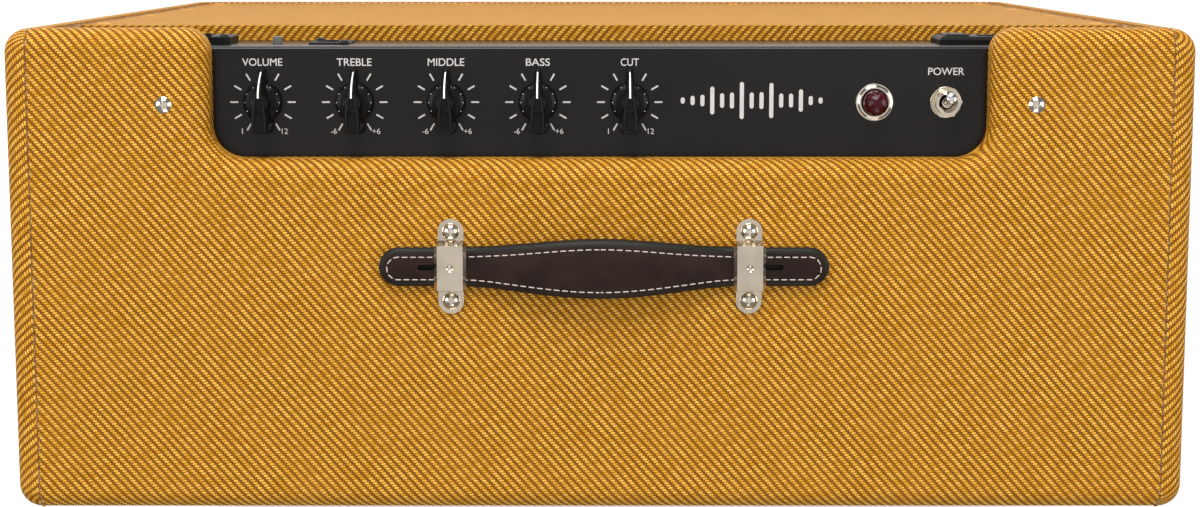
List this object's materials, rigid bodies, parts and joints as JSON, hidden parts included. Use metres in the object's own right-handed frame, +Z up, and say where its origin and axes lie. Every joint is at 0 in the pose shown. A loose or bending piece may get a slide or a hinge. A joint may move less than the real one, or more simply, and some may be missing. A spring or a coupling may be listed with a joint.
{
  "type": "guitar amplifier",
  "caption": "Tweed-covered guitar amplifier cabinet with a rear control panel of pointer knobs, a strap handle on top and a speaker with a horn behind cloth.",
  "frame": {"origin": "on the ground under the middle of the cabinet's width and depth, at the level of the feet's undersides", "axes": "+X to the right seen from the front, +Y to the rear, +Z up"},
  "size_m": [0.597, 0.2616, 0.498],
  "materials": {
    "wood_board": "bare pine and plywood",
    "tweed": "lacquered diagonal twill",
    "grille": "woven cloth with thin gold stripes",
    "rubber": "moulded",
    "strap_leather": "dark brown, stitched",
    "nickel": "nickel plated",
    "steel_black": "satin black",
    "steel_zinc": "zinc plated",
    "knob_black": "moulded, white line on the pointer",
    "chrome": "polished",
    "jewel_red": "faceted ruby",
    "black_plastic": "moulded",
    "grey_plastic": "moulded",
    "brass": "plated",
    "board_green": "glass-fibre board",
    "aluminium": "extruded",
    "ferrite": "dark ceramic",
    "can_black": "sleeved",
    "paper": "pressed, grey black",
    "spider_cloth": "resin-stiffened"
  },
  "bodies": {
    "cabinet": {"cabinet_top": "wood_board", "cabinet_bottom": "wood_board", "cabinet_side_left": "wood_board", "cabinet_side_right": "wood_board", "tweed_top": "tweed", "tweed_bottom": "tweed", "tweed_left": "tweed", "tweed_right": "tweed", "cabinet_cleats": "wood_board", "baffle_board": "wood_board", "grille_frame": "wood_board", "grille_cloth": "grille", "back_panel": "wood_board", "tweed_back": "tweed", "cabinet_screws": "nickel", "rubber_feet": "rubber", "handle_cap_left": "nickel", "handle_cap_right": "nickel", "top_screws": "nickel", "chassis_shell": "steel_black", "chassis_cover": "steel_zinc", "panel_nuts": "nickel", "potentiometers": "steel_zinc", "lamp_bezel": "chrome", "lamp_jewel": "jewel_red", "lamp_socket": "grey_plastic", "toggle_body": "chrome", "combo_jack": "black_plastic", "line_out_socket": "black_plastic", "connector_pins": "brass", "connector_screws": "steel_black", "power_inlet": "black_plastic", "amplifier_board": "board_green", "heatsink": "aluminium", "power_transformer": "ferrite", "capacitors": "can_black", "woofer_basket": "steel_black", "woofer_screws": "steel_zinc", "woofer_surround": "paper", "woofer_spider": "spider_cloth", "magnet_plates": "steel_zinc", "woofer_magnet": "ferrite", "horn_flare": "black_plastic", "horn_driver": "ferrite", "speaker_lead": "can_black"},
    "grip": {"handle_grip": "strap_leather"},
    "strap_end_left": {"handle_end_left": "strap_leather"},
    "strap_end_right": {"handle_end_right": "strap_leather"},
    "volume_control": {"knob_volume": "knob_black"},
    "treble_control": {"knob_treble": "knob_black"},
    "middle_control": {"knob_middle": "knob_black"},
    "bass_control": {"knob_bass": "knob_black"},
    "cut_control": {"knob_cut": "knob_black"},
    "power_toggle": {"toggle_lever": "chrome"},
    "fuse_holder": {"fuse_drawer": "black_plastic"},
    "jack_release": {"jack_latch": "black_plastic"},
    "ground_lift": {"ground_lift_button": "grey_plastic"},
    "cone_assembly": {"woofer_cone": "paper", "woofer_dust_cap": "paper", "voice_coil": "brass"}
  },
  "joints": [
    {"name": "volume_turn", "type": "hinge", "parent": "cabinet", "child": "volume_control", "pos_m": [-0.1711, 0.0932, 0.47], "axis": [0, 0, 1], "range_deg": [-150, 150]},
    {"name": "treble_turn", "type": "hinge", "parent": "cabinet", "child": "treble_control", "pos_m": [-0.12455, 0.0932, 0.47], "axis": [0, 0, 1], "range_deg": [-150, 150]},
    {"name": "middle_turn", "type": "hinge", "parent": "cabinet", "child": "middle_control", "pos_m": [-0.078, 0.0932, 0.47], "axis": [0, 0, 1], "range_deg": [-150, 150]},
    {"name": "bass_turn", "type": "hinge", "parent": "cabinet", "child": "bass_control", "pos_m": [-0.03145, 0.0932, 0.47], "axis": [0, 0, 1], "range_deg": [-150, 150]},
    {"name": "cut_turn", "type": "hinge", "parent": "cabinet", "child": "cut_control", "pos_m": [0.0151, 0.0932, 0.47], "axis": [0, 0, 1], "range_deg": [-150, 150]},
    {"name": "power_switch", "type": "hinge", "parent": "cabinet", "child": "power_toggle", "pos_m": [0.1755, 0.0932, 0.468], "axis": [1, 0, 0], "range_deg": [0, 26]},
    {"name": "fuse_pull", "type": "slide", "parent": "cabinet", "child": "fuse_holder", "axis": [0, 1, 0], "range_m": [0, 0.018]},
    {"name": "jack_press", "type": "slide", "parent": "cabinet", "child": "jack_release", "axis": [0, -1, 0], "range_m": [0, 0.0012], "stiffness_N_per_m": 300},
    {"name": "ground_press", "type": "slide", "parent": "cabinet", "child": "ground_lift", "axis": [0, -1, 0], "range_m": [0, 0.002], "stiffness_N_per_m": 300},
    {"name": "handle_lift", "type": "slide", "parent": "cabinet", "child": "grip", "axis": [0, 0, 1], "range_m": [0, 0.03]},
    {"name": "strap_slide_left", "type": "slide", "parent": "grip", "child": "strap_end_left", "axis": [0.3162, 0, -0.9487], "range_m": [0, 0.03172]},
    {"name": "strap_slide_right", "type": "slide", "parent": "grip", "child": "strap_end_right", "axis": [-0.3162, 0, -0.9487], "range_m": [0, 0.03172]},
    {"name": "cone_travel", "type": "slide", "parent": "cabinet", "child": "cone_assembly", "axis": [0, -0.9993, 0.0361], "range_m": [-0.005, 0.005], "stiffness_N_per_m": 4500, "deforming": ["woofer_surround", "woofer_spider"]}
  ],
  "couplings": [
    {"joint": "strap_slide_left", "follows": "handle_lift", "ratio": 1.0541},
    {"joint": "strap_slide_right", "follows": "handle_lift", "ratio": 1.0541}
  ]
}
